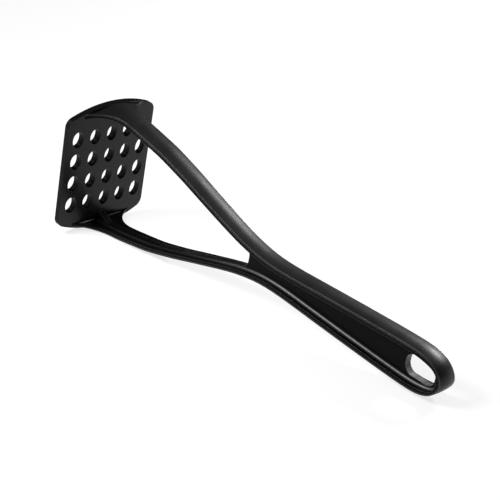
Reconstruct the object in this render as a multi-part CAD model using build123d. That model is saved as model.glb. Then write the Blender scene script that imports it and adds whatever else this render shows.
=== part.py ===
from build123d import *
from build123d.topology import SkipClean
import os
from math import atan2, degrees

# A potato masher: a perforated plate, a forked frame with an H-section handle, and a matte skin on the outer faces.
# It is drawn along its own axis first: X from the plate to the hanging end, Y across, Z from arm to arm.
# At the end it is laid down on the plate's lower edge and the handle's end, as it lies on a table.
os.makedirs("parts", exist_ok=True)

# The curved faces stay split into the short runs of their outline, which keeps each volume exact
SkipClean.clean = False

# Plate
plate_width = 68.6
plate_height = 84.8
plate_side_height = 70.6
plate_corner_radius = 6.0
plate_edge_thickness = 3.7
plate_crown = 1.6
plate_rim_round = 0.5

# Holes, the outer columns a little larger, spread between the margins of the plate
hole_columns = 5
hole_rows = 4
hole_side_margin = 8.3
hole_end_margin = 12.8
hole_bridge_width = 5.4
hole_bridge_height = 4.8
hole_growth_share = 0.055

# Side outline of the arms and the handle, as shares of the length and of the plate's height
tool_length = 284.0
station_shares = (0.0, 0.05, 0.1, 0.145, 0.19, 0.23, 0.272, 0.313, 0.35, 0.384, 0.416, 0.447, 0.479,
                  0.51, 0.54, 0.58, 0.63, 0.71, 0.77, 0.83, 0.88, 0.92, 0.955, 0.985)
height_shares = (0.5, 0.485, 0.464, 0.437, 0.407, 0.37, 0.328, 0.282, 0.242, 0.205, 0.172, 0.143, 0.12,
                 0.104, 0.097, 0.098, 0.107, 0.123, 0.134, 0.144, 0.151, 0.153, 0.142, 0.092)
rim_runs = 12
band_crown = 0.6
band_thickness = 2.8

# Plan outline: the arms flare to the plate's edges
arm_width = 16.0
handle_width = 13.0
arm_taper_start = 30.0
arm_taper_end = 135.0
flare_radius = 21.0

# Web in the middle plane, with a low rib along each arm and a gusset at the plate
web_thickness = 4.6
rib_height = 1.0
crotch_start = 100.0
crotch_end = 132.7
crotch_radius = 5.0
crotch_round_share = 0.92
gusset_length = 13.0
gusset_height = 6.0
channel_fillet = 2.2

# Hanging hole
hang_hole_length = 21.0
hang_hole_height = 13.0
hang_hole_end_gap = 7.0
hang_hole_radius = 5.6

# Matte skin
skin_thickness = 1.0
skin_ledge = 0.25

# Seat of the frame in the plate: a tongue in a groove behind each flange
tongue_width = 18.0
tongue_depth = 2.0
tongue_clearance = 0.1
tongue_cover = 0.25

overrun = 5.0


def side_outline(drop, height_scale, lead=0):
    """Closed side outline, each half-height lowered by drop and then scaled, run back through the plate by lead."""
    upper = []
    for station, height in zip(station_shares, height_shares):
        upper.append((station * tool_length, (height * plate_height - drop) * height_scale))
    lower = [(x, -z) for x, z in reversed(upper)]
    rim = Spline(*upper, (tool_length - drop, 0), *lower)
    runs = [rim.trim(run / rim_runs, (run + 1) / rim_runs) for run in range(rim_runs)]
    if not lead:
        return make_face([*runs, Line(rim @ 1, rim @ 0)])
    back = [(-lead, (rim @ 1).Y), (-lead, (rim @ 0).Y)]
    return make_face([*runs, *Polyline(rim @ 1, *back, rim @ 0).edges()])


def arch_scale(place):
    """Share of the height that is left at a place across the plate, whose top and bottom are arched."""
    return 1 - (1 - arch_share) * (place / half_width) ** 2


def arched_form(places, drops, lead=0):
    """The side outline lofted across the width, arched down as the plate is."""
    sections = []
    for place, drop in zip(places, drops):
        sections.append(Plane.XZ.offset(place) * side_outline(drop, arch_scale(place), lead))
    return loft(sections)


# Full outer form, crowned in the middle
arch_share = plate_side_height / plate_height
half_side = plate_side_height / 2
half_width = plate_width / 2
half_arm = arm_width / 2
flare_middle = (half_arm + half_width) / 2
side_places = (half_arm, flare_middle, half_width)
form_places = (*(-place for place in reversed(side_places)), 0, *side_places)
form_drops = (band_crown, band_crown, band_crown, 0, band_crown, band_crown, band_crown)
outer_form = arched_form(form_places, form_drops)

# Plan outline of the arms and handle
half_plan = Polyline(
    (-overrun, 0),
    (-overrun, half_width),
    (0, half_width),
    (0, half_arm),
    (arm_taper_start, half_arm),
    (arm_taper_end, handle_width / 2),
    (tool_length + overrun, handle_width / 2),
    (tool_length + overrun, 0),
    (-overrun, 0),
)
plan_face = make_face(half_plan)
flare_corner = plan_face.vertices().sort_by_distance((0, half_arm))[0]
plan_face = fillet(flare_corner, flare_radius)
plan_face = (plan_face + mirror(plan_face, about=Plane.XZ)).clean()
plan_block = extrude(plan_face, amount=plate_height, both=True)

# Plate blank: arched top and bottom, flat working face, crowned inner face
plate_rim = [
    Line((-half_width, -half_side), (-half_width, half_side)),
    ThreePointArc((-half_width, half_side), (0, plate_height / 2), (half_width, half_side)),
    Line((half_width, half_side), (half_width, -half_side)),
    ThreePointArc((half_width, -half_side), (0, -plate_height / 2), (-half_width, -half_side)),
]
plate_face = make_face(plate_rim)
plate_face = fillet(plate_face.vertices(), plate_corner_radius)
plate_prism = extrude(Plane.YZ * plate_face, amount=plate_height, both=True)
crown_profile = make_face([
    Line((0, half_width), (-plate_edge_thickness, half_width)),
    Line((-plate_edge_thickness, half_width), (-plate_edge_thickness, -half_width)),
    Line((-plate_edge_thickness, -half_width), (0, -half_width)),
    ThreePointArc((0, -half_width), (plate_crown, 0), (0, half_width)),
])
plate_slab = extrude(crown_profile, amount=plate_height, both=True)
plate = plate_prism & plate_slab
working_edges = plate.edges().filter_by_position(Axis.X, -plate_edge_thickness, -plate_edge_thickness)
plate = fillet(working_edges, plate_rim_round)

# Holes, by column and row
column_pitch = (plate_width - 2 * hole_side_margin) / (hole_columns - 1)
row_pitch = (plate_side_height - 2 * hole_end_margin) / (hole_rows - 1)
hole_width = column_pitch - hole_bridge_width
hole_height = row_pitch - hole_bridge_height
holes = []
for column in range(hole_columns):
    across = column - (hole_columns - 1) / 2
    growth = 1 + hole_growth_share * (across / ((hole_columns - 1) / 2)) ** 2
    for row in range(hole_rows):
        up = row - (hole_rows - 1) / 2
        hole = Ellipse(hole_width / 2 * growth, hole_height / 2 * growth)
        place = Pos(-plate_edge_thickness, across * column_pitch, up * row_pitch)
        holes.append(extrude(place * (Plane.YZ * hole), amount=plate_edge_thickness + overrun))
        holes.append(extrude(place * (Plane.YZ * hole), amount=-overrun))
plate = plate - holes

# Inner outline, one band thickness inside the side outline, run through the plate's face
inner_drop = band_crown + band_thickness
mouth_height = plate_height - 2 * inner_drop

# Frame: outer form within the plan outline, with channels on both sides of the web
channel_places = (web_thickness / 2, half_arm, half_width)
near_channel = arched_form(channel_places, (inner_drop, inner_drop, inner_drop), overrun)
channel_floor = near_channel.faces().sort_by(Axis.Y)[-1]
channel_foot = channel_floor.edges().filter_by(lambda edge: edge.center().X > 0)
near_channel = fillet(channel_foot, channel_fillet)
far_channel = mirror(near_channel, about=Plane.XZ)
tool_body = (outer_form & plan_block) - [near_channel, far_channel, plate_slab]

# Opening between the arms: it leaves a low rib on each arm, a gusset at the plate and a round crotch
ridge_face = side_outline(inner_drop + rib_height, 1)
ridge_face = ridge_face & Pos(crotch_start / 2, 0) * Rectangle(crotch_start, plate_height)
throat_height = ridge_face.edges().sort_by(Axis.X)[-1].length
throat = make_face(Polyline(
    (crotch_start, throat_height / 2),
    (crotch_end, crotch_radius),
    (crotch_end, -crotch_radius),
    (crotch_start, -throat_height / 2),
    (crotch_start, throat_height / 2),
))
throat = fillet(throat.vertices().sort_by(Axis.X)[-2:], crotch_radius * crotch_round_share)
gusset = make_face(Polyline(
    (-overrun, mouth_height / 2),
    (-overrun, mouth_height / 2 - gusset_height),
    (plate_crown, mouth_height / 2 - gusset_height),
    (plate_crown + gusset_length, mouth_height / 2),
    (-overrun, mouth_height / 2),
))
opening_mouth = Pos(-overrun / 2, 0) * Rectangle(overrun, mouth_height - 2 * rib_height)
opening_face = ridge_face + throat + opening_mouth
opening_face = opening_face - [gusset, mirror(gusset, about=Plane.XZ)]
opening = extrude(Plane.XZ * opening_face, amount=plate_width, both=True)

# Hanging hole through the web at the end
hang_hole = RectangleRounded(hang_hole_length, hang_hole_height, hang_hole_radius)
hang_hole_x = tool_length - hang_hole_end_gap - hang_hole_length / 2
hang_cut = extrude(Plane.XZ * Pos(hang_hole_x, 0) * hang_hole, amount=plate_width, both=True)
tool_body = tool_body - [opening, hang_cut]

# Matte skin from the plate along both arms and round the handle's end, a little narrower than the frame
core_form = arched_form(form_places, [drop + skin_thickness for drop in form_drops])
skin_plan = offset(plan_face, amount=-skin_ledge)
skin_zone = extrude(skin_plan, amount=plate_height, both=True)
grip_skin = (outer_form & skin_zone) - [core_form, plate_slab]
frame = tool_body & core_form

# Tongues of the flanges in the plate's grooves
tongue_bottom = mouth_height / 2
tongue_top = (plate_height / 2 - band_crown - skin_thickness) * arch_scale(tongue_width / 2) - tongue_cover
tongue_height = (tongue_bottom + tongue_top) / 2
tongue_thickness = tongue_top - tongue_bottom
tongues = []
grooves = []
for side in (1, -1):
    place = Pos(plate_crown / 2 - tongue_depth / 2, 0, side * tongue_height)
    tongues.append(place * Box(tongue_depth + plate_crown, tongue_width, tongue_thickness))
    groove_depth = tongue_depth + plate_crown + 2 * tongue_clearance
    groove_width = tongue_width + 2 * tongue_clearance
    groove_thickness = tongue_thickness + 2 * tongue_clearance
    grooves.append(place * Box(groove_depth, groove_width, groove_thickness))
frame = frame + tongues
plate = plate - grooves

# Lie: turned about Y until the plate's lower edge and the handle's end touch one level
pieces = {"masher_plate": plate, "fork_frame": frame, "grip_skin": grip_skin}
lie = degrees(atan2(plate_height / 2 - max(height_shares[-7:]) * plate_height, tool_length))
for trial in range(4):
    plate_low = (Rot(0, lie, 0) * plate).bounding_box().min.Z
    skin_low = (Rot(0, lie, 0) * grip_skin).bounding_box().min.Z
    lie = lie + degrees(atan2(skin_low - plate_low, tool_length))
print("lie angle", lie)
laid = {name: Rot(0, lie, 0) * piece for name, piece in pieces.items()}
boxes = [piece.bounding_box() for piece in laid.values()]
middle_x = (min(box.min.X for box in boxes) + max(box.max.X for box in boxes)) / 2
middle_y = (min(box.min.Y for box in boxes) + max(box.max.Y for box in boxes)) / 2
ground = Pos(-middle_x, -middle_y, -min(box.min.Z for box in boxes))
for name, piece in laid.items():
    placed = ground * piece
    size = placed.bounding_box().size
    print(name, len(placed.solids()), "solids", round(placed.volume), "mm3", placed.is_valid, size)
    export_step(placed, f"parts/{name}.step")
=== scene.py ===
# %% [markdown]
# # A black plastic potato masher
# The masher has a perforated plate, a forked frame that narrows into an H-section handle,
# and a matte skin on its outer faces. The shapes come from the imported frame. Blender is here for the
# finishes, the camera and the light.

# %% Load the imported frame
from math import radians
import bpy
from mathutils import Matrix, Vector


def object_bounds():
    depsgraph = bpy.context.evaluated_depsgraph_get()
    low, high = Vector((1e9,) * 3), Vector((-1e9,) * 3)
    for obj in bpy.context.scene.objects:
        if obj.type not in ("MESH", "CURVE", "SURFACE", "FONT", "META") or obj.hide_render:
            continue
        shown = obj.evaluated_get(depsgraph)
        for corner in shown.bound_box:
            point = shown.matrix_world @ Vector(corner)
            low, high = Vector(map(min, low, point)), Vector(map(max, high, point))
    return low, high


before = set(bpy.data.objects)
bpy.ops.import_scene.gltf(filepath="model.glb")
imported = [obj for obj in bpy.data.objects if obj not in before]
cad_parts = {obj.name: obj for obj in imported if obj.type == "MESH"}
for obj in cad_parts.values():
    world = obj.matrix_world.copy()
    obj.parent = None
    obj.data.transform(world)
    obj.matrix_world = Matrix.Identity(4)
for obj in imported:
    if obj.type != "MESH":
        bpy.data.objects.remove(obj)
cad_low, cad_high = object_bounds()
print("frame box in metres:", [round(v, 4) for v in cad_low], [round(v, 4) for v in cad_high])
bpy.ops.object.select_all(action="DESELECT")

# %% [markdown]
# ## The camera
# A camera can be placed by hand and nudged until the picture fits. Here its place was worked out from
# the photograph instead: the rows of holes and the handle's end fix where it stands. A long lens
# keeps the plate and the handle's end nearly the same size. The view leans a few degrees, so the three
# axes of the camera are written out.

# %% Place the camera
camera_place = Vector((0.61011, -0.65380, 0.44078))
camera_right = Vector((0.69791, 0.71124, 0.08402))
camera_up = Vector((-0.34929, 0.23561, 0.90691))
camera_back = Vector((0.62523, -0.66229, 0.41286))
camera_data = bpy.data.cameras.new("masher_camera")
camera_data.sensor_width = 36.0
camera_data.lens = 122.4
camera = bpy.data.objects.new("masher_camera", camera_data)
bpy.context.scene.collection.objects.link(camera)
turn = Matrix((camera_right, camera_up, camera_back)).transposed().to_4x4()
camera.matrix_world = Matrix.Translation(camera_place) @ turn
bpy.context.scene.camera = camera
print("camera is", round((camera_place - (cad_low + cad_high) / 2).length, 3), "m from the masher")

# %% [markdown]
# ## Helpers for the finishes
# Every finish is a small network of nodes round one Principled BSDF. These helpers add a node and join
# it to the next, so that each finish below reads as a short recipe. A socket takes either a plain value
# or the output of another node.

# %% Helpers for node networks
def start_finish(name):
    finish = bpy.data.materials.new(name)
    finish.use_nodes = True
    tree = finish.node_tree
    shader = tree.nodes["Principled BSDF"]
    return finish, tree, shader


def feed(tree, value, socket):
    if isinstance(value, bpy.types.NodeSocket):
        tree.links.new(value, socket)
    else:
        socket.default_value = value


def set_sockets(tree, node, **sockets):
    for key, value in sockets.items():
        feed(tree, value, node.inputs[key.replace("_", " ")])


def add_node(tree, kind, settings=None, **sockets):
    node = tree.nodes.new(kind)
    for key, value in (settings or {}).items():
        setattr(node, key, value)
    set_sockets(tree, node, **sockets)
    return node


def combine(tree, how, first, *others):
    result = first
    for other in others:
        node = add_node(tree, "ShaderNodeMath", {"operation": how})
        feed(tree, result, node.inputs[0])
        feed(tree, other, node.inputs[1])
        result = node.outputs["Value"]
    return result


print("node helpers ready")

# %% [markdown]
# ## Patterns
# A painted pattern needs an unwrapped mesh and an image. These patterns are worked out from the place of
# each point instead, so they need neither. All of them read Object coordinates: a piece sits at the
# origin unscaled, so one unit is one metre. Noise mostly stays between 0.3 and 0.7, so it is spread from
# there to the values that a finish needs.

# %% Helpers for patterns
noise_low = 0.3
noise_high = 0.7


def object_place(tree):
    return tree.nodes.new("ShaderNodeTexCoord").outputs["Object"]


def add_noise(tree, place, scale=1.0, detail=3.0, roughness=0.55):
    look = {"Scale": scale, "Detail": detail, "Roughness": roughness}
    return add_node(tree, "ShaderNodeTexNoise", Vector=place, **look).outputs["Fac"]


def stretch(tree, place, scale, turn=(0.0, 0.0, 0.0)):
    return add_node(tree, "ShaderNodeMapping", Vector=place, Rotation=turn, Scale=scale).outputs["Vector"]


def remap(tree, value, low, high, to_low, to_high):
    ends = {"From_Min": low, "From_Max": high, "To_Min": to_low, "To_Max": to_high}
    return add_node(tree, "ShaderNodeMapRange", Value=value, **ends).outputs["Result"]


def spread(tree, noise, least, most):
    return remap(tree, noise, noise_low, noise_high, least, most)


def rise(tree, value, low, high):
    return remap(tree, value, low, high, 0.0, 1.0)


print("noise is spread from", noise_low, "to", noise_high)

# %% [markdown]
# ## Places along the masher
# Some wear belongs to one stretch of the masher. Its place could be typed in as a coordinate, but then
# it would be lost if the masher grew. It is measured from the plate's working face or from the handle's
# end, which the frame gives.

# %% Measure along the masher
def from_plate(distance):
    return cad_low.x + distance


def from_end(distance):
    return cad_high.x - distance


print("working face at", round(from_plate(0.0), 4), "and handle end at", round(from_end(0.0), 4))

# %% [markdown]
# ## Worn and rounded edges
# A used moulding is a little smoother and paler along its edges; on the frame and the skin the paler line
# is a painted highlight. Painting that by hand would have to be redone after each change of shape. The
# Bevel node looks round each point for a corner, so comparing its normal with the face's own normal gives
# a mask of the edges that follows any shape. The same node also rounds the edges in the shading, where a
# moulding has a small radius that the mesh leaves out.

# %% Edge mask and rounded edges
edge_radius = 0.0006
edge_turn = 0.5
bump_depth = 0.0003


def soft_normal(tree, radius):
    return add_node(tree, "ShaderNodeBevel", {"samples": 6}, Radius=radius).outputs["Normal"]


def edge_mask(tree):
    rounded = soft_normal(tree, edge_radius)
    plain = tree.nodes.new("ShaderNodeNewGeometry").outputs["Normal"]
    same = add_node(tree, "ShaderNodeVectorMath", {"operation": "DOT_PRODUCT"})
    feed(tree, rounded, same.inputs[0])
    feed(tree, plain, same.inputs[1])
    return rise(tree, same.outputs["Value"], 1.0, 1.0 - edge_turn)


def add_bump(tree, height, strength, normal, depth=bump_depth):
    bump = add_node(tree, "ShaderNodeBump", Height=height, Strength=strength, Distance=depth, Normal=normal)
    return bump.outputs["Normal"]


print("edges are worn within", round(edge_radius * 1000, 2), "mm")

# %% [markdown]
# ## The fold at the plate's foot
# Where the lower arm runs into the plate there is a sharp fold, and a thin pale line is painted along it
# as a highlight. A thin strip of mesh could show it, but it would catch the light as a step. A mask needs
# no mesh. It takes a range of height, a range along the masher and a range on both sides of the middle,
# each fading in and out, and multiplies them, so the line shows only where all of them hold. The painted
# highlight is stronger on the near half, because that half lies in the arm's shadow.

# %% Mask of the painted fold highlight
fold_bottom = (0.0047, 0.005)
fold_top = (0.0052, 0.0056)
fold_middle = (0.005, 0.009)
fold_ends = (0.017, 0.023)
fold_far_highlight_share = 0.5


def fall(tree, value, low, high):
    return remap(tree, value, low, high, 1.0, 0.0)


def band(tree, value, fade_in, fade_out):
    return combine(tree, "MULTIPLY", rise(tree, value, *fade_in), fall(tree, value, *fade_out))


def split(tree, vector):
    return add_node(tree, "ShaderNodeSeparateXYZ", Vector=vector).outputs


def unsigned(tree, value):
    return combine(tree, "ABSOLUTE", value, 0.0)


def fold_highlight_mask(tree, place):
    spot = split(tree, place)
    height = band(tree, spot["Z"], fold_bottom, fold_top)
    inside = rise(tree, spot["X"], from_plate(0.0047), from_plate(0.0051))
    halves = band(tree, unsigned(tree, spot["Y"]), fold_middle, fold_ends)
    near_half = remap(tree, spot["Y"], -0.004, 0.004, 1.0, fold_far_highlight_share)
    return combine(tree, "MULTIPLY", height, inside, halves, near_half)


print("the fold lies", [round(v * 1000, 1) for v in (fold_bottom[0], fold_top[1])], "mm over the floor")

# %% [markdown]
# ## The walls of the holes
# The walls of the holes and the plate's rim are the faces that slid along the mould, so they are duller
# than its broad faces, and they are given the darkest black as painted shade. A second material on those
# faces would need them picked in the mesh, which stays as the frame gives it. Here a second shader is
# mixed in where a face doesn't look along the masher's length.

# %% Dull walls with painted shade by a second shader
wall_shade_black = (0.002, 0.002, 0.002, 1.0)
wall_lean = 0.35
face_lean = 0.75
wall_share = 0.9


def lean_along(tree, axis):
    facing = tree.nodes.new("ShaderNodeTexCoord").outputs["Normal"]
    return unsigned(tree, split(tree, facing)[axis])


def show_mix(tree, share, first, second):
    both = add_node(tree, "ShaderNodeMixShader", Fac=share)
    feed(tree, first, both.inputs[1])
    feed(tree, second, both.inputs[2])
    feed(tree, both.outputs["Shader"], tree.nodes["Material Output"].inputs["Surface"])


def add_dull_shaded_walls(tree, shader, normal):
    # painted shade: the walls get the darkest black and a weaker gloss
    dull = add_node(tree, "ShaderNodeBsdfPrincipled", Base_Color=wall_shade_black, Roughness=0.4, Normal=normal)
    dull.inputs["Specular IOR Level"].default_value = 0.05
    share = remap(tree, lean_along(tree, "X"), wall_lean, face_lean, wall_share, 0.0)
    show_mix(tree, share, shader.outputs["BSDF"], dull.outputs["BSDF"])


print("walls are", round(wall_share * 100), "percent dull where they lean less than", wall_lean)

# %% [markdown]
# ## Plate plastic
# The plate is moulded in black nylon with a satin gloss. Its surface has a soft orange peel from the
# mould, and hot pans and forks leave fine straight scratches. The scratches are stretched noise: one
# axis is scaled far less than the others, so the spots turn into lines.

# %% Plate plastic
plate_black = (0.002, 0.002, 0.0019, 1.0)
plate_worn_black = (0.009, 0.009, 0.0087, 1.0)
# grey of the painted highlight along the plate's fold
fold_highlight_grey = (0.6, 0.6, 0.59, 1.0)


def blend_colours(tree, share, first, second):
    mix = add_node(tree, "ShaderNodeMix", {"data_type": "RGBA"}, Factor=share, A=first, B=second)
    return mix.outputs["Result"]


def plate_plastic():
    finish, tree, shader = start_finish("plate_plastic")
    place = object_place(tree)
    cloud = add_noise(tree, place, scale=60.0)
    peel = add_noise(tree, place, scale=900.0, detail=2.0)
    lines = stretch(tree, place, scale=(3000.0, 2400.0, 60.0), turn=(0.5, 0.3, 0.2))
    scratches = rise(tree, add_noise(tree, lines, detail=1.0), 0.66, 0.74)
    edges = edge_mask(tree)
    scratch_wear = combine(tree, "MULTIPLY", scratches, 0.35)
    edge_wear = combine(tree, "MULTIPLY", edges, 0.6)
    worn = combine(tree, "MAXIMUM", scratch_wear, edge_wear)
    shade = combine(tree, "ADD", combine(tree, "MULTIPLY", cloud, 0.4), worn)
    colour = blend_colours(tree, shade, plate_black, plate_worn_black)
    # painted highlight: a pale line along the fold at the plate's foot
    colour = blend_colours(tree, fold_highlight_mask(tree, place), colour, fold_highlight_grey)
    scratch_dulling = combine(tree, "MULTIPLY", scratches, 0.08)
    edge_polish = combine(tree, "MULTIPLY", edges, 0.08)
    gloss = combine(tree, "ADD", spread(tree, cloud, 0.24, 0.32), scratch_dulling)
    gloss = combine(tree, "SUBTRACT", gloss, edge_polish)
    height = combine(tree, "SUBTRACT", peel, combine(tree, "MULTIPLY", scratches, 0.5))
    normal = add_bump(tree, height, 0.16, soft_normal(tree, 0.0004))
    set_sockets(tree, shader, Base_Color=colour, Roughness=gloss, Normal=normal, Specular_IOR_Level=0.2)
    add_dull_shaded_walls(tree, shader, normal)
    return finish


plate_finish = plate_plastic()
print("made", plate_finish.name)

# %% [markdown]
# ## The channels' corners
# The handle is an H in section. Where the web meets the two flanges, the mould was polished to let the
# part go, and a lamp draws a bright line there. A glossier material all over would shine on the web as
# well. A clear coat has a weight that a mask can drive, so it lies only in the rounded corners. It is
# weaker on the arms, and worn edges get a little of it too.

# %% Mask of the polished corners
corner_inside = (0.00235, 0.0027)
corner_outside = (0.0042, 0.005)
arm_share = 0.25
edge_share = 0.6


def polish_mask(tree, place, edges):
    spot = split(tree, place)
    corner = band(tree, unsigned(tree, spot["Y"]), corner_inside, corner_outside)
    turned = rise(tree, lean_along(tree, "Y"), 0.12, 0.35)
    on_handle = remap(tree, spot["X"], from_plate(0.0853), from_plate(0.1253), arm_share, 1.0)
    polished_corner = combine(tree, "MULTIPLY", corner, turned, on_handle)
    polished_edge = remap(tree, edges, 0.05, 0.3, 0.0, edge_share)
    return combine(tree, "MAXIMUM", polished_corner, polished_edge)


corner_range = [round(v * 1000, 2) for v in (corner_inside[0], corner_outside[1])]
print("corners shine", corner_range, "mm from the middle")

# %% [markdown]
# ## The hanging hole's wall
# The wall of the hanging hole is rough, with fine ribs across it, and carries a painted highlight in its
# grey, palest on the side towards the plate, which faces the light. It could be a finish of its own, but
# the faces would have to be picked in the mesh. It is the only open face near the handle's end that lies
# inside the web's thickness, so a range across the masher picks it out. The ribs are noise that is scaled
# up along the masher only.

# %% Painted highlight on the hanging hole's wall
web_faces = (0.0018, 0.0022)
hole_highlight_grey = 0.15
lit_side_share = 1.2
dim_side_share = 0.4


def hole_wall_highlight(tree, place):
    spot = split(tree, place)
    in_web = fall(tree, unsigned(tree, spot["Y"]), *web_faces)
    near_end = remap(tree, spot["X"], from_end(0.0373), from_end(0.0333), 0.0, hole_highlight_grey)
    # painted light: palest on the side towards the plate, which faces the light
    side = remap(tree, spot["X"], from_end(0.0273), from_end(0.0073), lit_side_share, dim_side_share)
    lines = stretch(tree, place, scale=(1600.0, 60.0, 60.0))
    ribs = remap(tree, add_noise(tree, lines, detail=2.0), 0.35, 0.65, 0.7, 1.3)
    return combine(tree, "MULTIPLY", in_web, near_end, side, ribs)


print("the hole's wall has a grey of", hole_highlight_grey)

# %% [markdown]
# ## Frame plastic
# The frame is the same nylon, filled with glass fibre for stiffness, so it is a deeper black. Melted
# plastic flows along the arms as the mould fills, which leaves faint long streaks in the gloss. They
# are noise stretched along the masher's length. The edges are smoother and carry a thin painted highlight
# in their colour, and both fade out towards the plate as painted shade.

# %% Frame plastic
def frame_plastic():
    finish, tree, shader = start_finish("frame_plastic")
    place = object_place(tree)
    cloud = add_noise(tree, place, scale=45.0)
    streaks = add_noise(tree, stretch(tree, place, scale=(18.0, 220.0, 220.0)))
    peel = add_noise(tree, place, scale=1100.0, detail=2.0)
    # painted shade: the edges' highlight and polish fade out towards the plate
    painted_plate_shade = rise(tree, split(tree, place)["X"], from_plate(0.0133), from_plate(0.0303))
    edges = combine(tree, "MULTIPLY", edge_mask(tree), painted_plate_shade)
    # painted highlight: a paler line along the edges
    edge_highlight_grey = combine(tree, "MULTIPLY", edges, 0.04)
    streak_grey = spread(tree, streaks, 0.0012, 0.0026)
    # the hole wall's grey is a painted highlight
    grey = combine(tree, "ADD", streak_grey, edge_highlight_grey, hole_wall_highlight(tree, place))
    edge_polish = combine(tree, "MULTIPLY", edges, 0.06)
    gloss = combine(tree, "ADD", spread(tree, streaks, 0.2, 0.24), spread(tree, cloud, -0.02, 0.02))
    gloss = combine(tree, "SUBTRACT", gloss, edge_polish)
    height = combine(tree, "ADD", peel, combine(tree, "MULTIPLY", streaks, 0.25))
    normal = add_bump(tree, height, 0.08, soft_normal(tree, 0.0005))
    set_sockets(tree, shader, Base_Color=grey, Roughness=gloss, Normal=normal, Specular_IOR_Level=0.04)
    set_sockets(tree, shader, Coat_Weight=polish_mask(tree, place, edges), Coat_Roughness=0.48)
    return finish


frame_finish = frame_plastic()
print("made", frame_finish.name)

# %% [markdown]
# ## The skin's crown
# The grip's outer face is a little more crowned across than the frame gives it, and what it mirrors
# moves with that. The mesh of a frame piece stays as it is, so the crown is in the shading: a bump whose
# height falls with the square of the distance from the middle. It fades out towards the plate, where the
# arms are wide and the same curve would be far too strong.

# %% Crown by a bump
crown_half_width = 0.007
crown_drop = 0.0009


def crown_normal(tree, place):
    spot = split(tree, place)
    steepness = remap(tree, spot["X"], from_plate(0.0203), from_plate(0.0453), 0.0, 1.0 / crown_half_width)
    share = combine(tree, "MULTIPLY", spot["Y"], steepness)
    swell = combine(tree, "MULTIPLY", share, share, -crown_drop)
    return add_bump(tree, swell, 1.0, soft_normal(tree, 0.0005), depth=1.0)


print("the crown drops", round(crown_drop * 1000, 1), "mm at", round(crown_half_width * 1000, 1), "mm out")

# %% [markdown]
# ## Skin plastic
# The outer skin is matte. Its mould was spark-eroded, which leaves an even field of tiny pits, and hands
# polish it slightly in patches and along its edges. Two sizes of noise give the grain and the patches, a
# cell pattern gives the pits, and a clear coat on the edge mask, with a painted highlight in its colour,
# gives the thin light line along the skin. Towards the plate its colour is darker, as painted shade.

# %% Skin plastic
def skin_plastic():
    finish, tree, shader = start_finish("skin_plastic")
    place = object_place(tree)
    patches = add_noise(tree, place, scale=70.0, detail=4.0)
    pits = add_node(tree, "ShaderNodeTexVoronoi", Vector=place, Scale=2600.0).outputs["Distance"]
    grain = add_noise(tree, place, scale=1500.0, detail=4.0, roughness=0.7)
    edges = edge_mask(tree)
    # painted highlight: a paler line along the edges
    edge_highlight_grey = combine(tree, "MULTIPLY", edges, 0.05)
    patch_grey = spread(tree, patches, 0.003, 0.006)
    grain_grey = spread(tree, grain, -0.001, 0.002)
    grey = combine(tree, "ADD", patch_grey, grain_grey, edge_highlight_grey)
    # painted shade: the colour darkens towards the plate
    painted_plate_shade = remap(tree, split(tree, place)["X"], from_plate(0.0153), from_plate(0.0503), 0.2, 1.0)
    grey = combine(tree, "MULTIPLY", grey, painted_plate_shade)
    edge_polish = combine(tree, "MULTIPLY", edges, 0.1)
    gloss = combine(tree, "ADD", spread(tree, patches, 0.37, 0.42), spread(tree, grain, -0.04, 0.04))
    gloss = combine(tree, "SUBTRACT", gloss, edge_polish)
    height = combine(tree, "ADD", combine(tree, "MULTIPLY", pits, 0.6), grain)
    normal = add_bump(tree, height, 0.1, crown_normal(tree, place))
    edge_coat = rise(tree, edges, 0.05, 0.3)
    set_sockets(tree, shader, Base_Color=grey, Roughness=gloss, Normal=normal, Specular_IOR_Level=0.25)
    set_sockets(tree, shader, Coat_Weight=edge_coat, Coat_Roughness=0.15)
    return finish


skin_finish = skin_plastic()
print("made", skin_finish.name)

# %% [markdown]
# ## Give each piece its finish
# The shapes of the frame are right as they are, so each node stays and only its material changes.

# %% Finish the three pieces
finishes = {"masher_plate": plate_finish, "fork_frame": frame_finish, "grip_skin": skin_finish}
for node_name, finish in finishes.items():
    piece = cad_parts[node_name]
    piece.data.materials.clear()
    piece.data.materials.append(finish)
    print(node_name, "wears", finish.name, "on", len(piece.data.polygons), "faces")

# %% [markdown]
# ## The floor
# The photograph has a plain white ground. A square plane would show its corners from a low view. A
# large round floor with an upturned rim gives the same white from every side, and the rim hides the
# line where the floor would end.

# %% Lay the floor
floor_radius = 8.0
rim_height = 1.7
rim_reach = 0.0005
bpy.ops.mesh.primitive_circle_add(vertices=96, radius=floor_radius, fill_type="NGON")
floor = bpy.context.object
floor.name = "studio_floor"
bpy.ops.object.mode_set(mode="EDIT")
bpy.ops.mesh.select_all(action="SELECT")
bpy.ops.mesh.inset(thickness=0.001, depth=0.0)
bpy.ops.mesh.select_all(action="DESELECT")
bpy.ops.object.mode_set(mode="OBJECT")
rim_corners = {v.index for v in floor.data.vertices if v.co.xy.length > floor_radius - rim_reach}
for edge in floor.data.edges:
    edge.select = rim_corners.issuperset(edge.vertices)
bpy.ops.object.mode_set(mode="EDIT")
bpy.ops.mesh.select_mode(type="EDGE")
bpy.ops.mesh.extrude_edges_move(TRANSFORM_OT_translate={"value": (0.0, 0.0, rim_height)})
bpy.ops.object.mode_set(mode="OBJECT")
print("floor size", [round(v, 2) for v in floor.dimensions])

# %% [markdown]
# ## The floor's paint
# White paint alone would need so much light that the masher turned grey. Where the camera or a shiny
# face looks at the floor, most of its colour is therefore a plain white glow, and the rest is paint, which
# keeps the soft shadow. For the light that bounces, it is paint alone.

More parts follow.
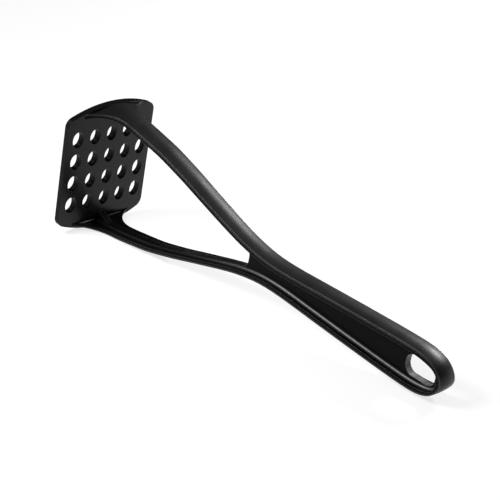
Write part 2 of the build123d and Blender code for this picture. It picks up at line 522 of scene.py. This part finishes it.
# %% Paint the floor
glow_share = 0.75
floor_white = (0.92, 0.92, 0.92, 1.0)
floor_finish, floor_tree, floor_paint = start_finish("studio_floor")
set_sockets(floor_tree, floor_paint, Base_Color=floor_white, Roughness=0.9, Specular_IOR_Level=0.0)
white_glow = add_node(floor_tree, "ShaderNodeEmission", Strength=1.0)
ray = floor_tree.nodes.new("ShaderNodeLightPath").outputs
looks = [ray[kind] for kind in ("Is Camera Ray", "Is Glossy Ray", "Is Transmission Ray")]
seen = combine(floor_tree, "MAXIMUM", *looks)
glow = combine(floor_tree, "MULTIPLY", seen, glow_share)
show_mix(floor_tree, glow, floor_paint.outputs["BSDF"], white_glow.outputs["Emission"])
floor.data.materials.append(floor_finish)
print("floor painted with", floor_finish.name)

# %% [markdown]
# ## A black card behind the masher
# A black object in a white studio turns grey, because its flat tops mirror the white backdrop. A
# photographer stands a black card where those faces look. It is a plane with a matte black paint,
# hidden from the camera but not from the reflections, so the handle and the arms keep their deep black.

# %% Stand up the black card
card_width = 1.0
card_height = 0.46
card_black = (0.01, 0.01, 0.01, 1.0)
bpy.ops.mesh.primitive_plane_add(size=1.0)
black_card = bpy.context.object
black_card.name = "black_card"
black_card.dimensions = (card_width, card_height, 0.0)
bpy.ops.object.transform_apply(location=False, rotation=False, scale=True)
black_card.rotation_euler = (radians(90.0), 0.0, radians(43.0))
black_card.location = (-0.8, 0.85, card_height / 2)
black_card.visible_camera = False
card_finish, card_tree, card_paint = start_finish("black_card")
set_sockets(card_tree, card_paint, Base_Color=card_black, Roughness=1.0, Specular_IOR_Level=0.0)
black_card.data.materials.append(card_finish)
print("black card stands", round(black_card.location.length, 2), "m away")

# %% [markdown]
# ## The sky
# A bright sky would light the masher from all sides and wash out its highlights. A weak white one only
# keeps the shadows open, and leaves the shaping to the lamps.

# %% White sky
sky = bpy.data.worlds.new("studio_sky")
bpy.context.scene.world = sky
sky.use_nodes = True
soft_sky = sky.node_tree.nodes["Background"]
set_sockets(sky.node_tree, soft_sky, Color=(1.0, 1.0, 1.0, 1.0), Strength=0.12)
print("sky strength", round(soft_sky.inputs["Strength"].default_value, 2))

# %% [markdown]
# ## The soft boxes
# A black object is shown by what it mirrors, so each lamp has one reflection to make. The back box lights
# the upper arm and the round of the handle's end. The front strip draws the bright line along the
# channel and the thin lines along the edges. The weak top box lifts the floor round the masher.

# %% Hang the soft boxes
def hang_soft_box(name, place, target, size, power):
    box_data = bpy.data.lights.new(name, "AREA")
    box_data.shape = "RECTANGLE"
    box_data.size, box_data.size_y = size
    box_data.energy = power
    soft_box = bpy.data.objects.new(name, box_data)
    bpy.context.scene.collection.objects.link(soft_box)
    soft_box.location = place
    soft_box.rotation_mode = "QUATERNION"
    soft_box.rotation_quaternion = (Vector(place) - Vector(target)).to_track_quat("Z", "Y")
    soft_box.visible_camera = False
    print(name, "is", round((Vector(place) - Vector(target)).length, 2), "m away")


masher_middle = (0.0, 0.0, 0.04)
handle_start = (0.05, 0.0, 0.02)
hang_soft_box("back_box", (-0.05, 1.0, 0.68), masher_middle, (0.5, 0.22), 13.0)
hang_soft_box("front_strip", (-0.185, -0.375, 0.42), handle_start, (0.35, 0.2), 5.0)
hang_soft_box("top_box", (0.1, 0.1, 1.7), masher_middle, (1.0, 1.0), 2.0)

# %% [markdown]
# ## The view transform
# The render uses Blender's Standard view transform.

# %% Set the view transform
bpy.context.scene.view_settings.view_transform = "Standard"
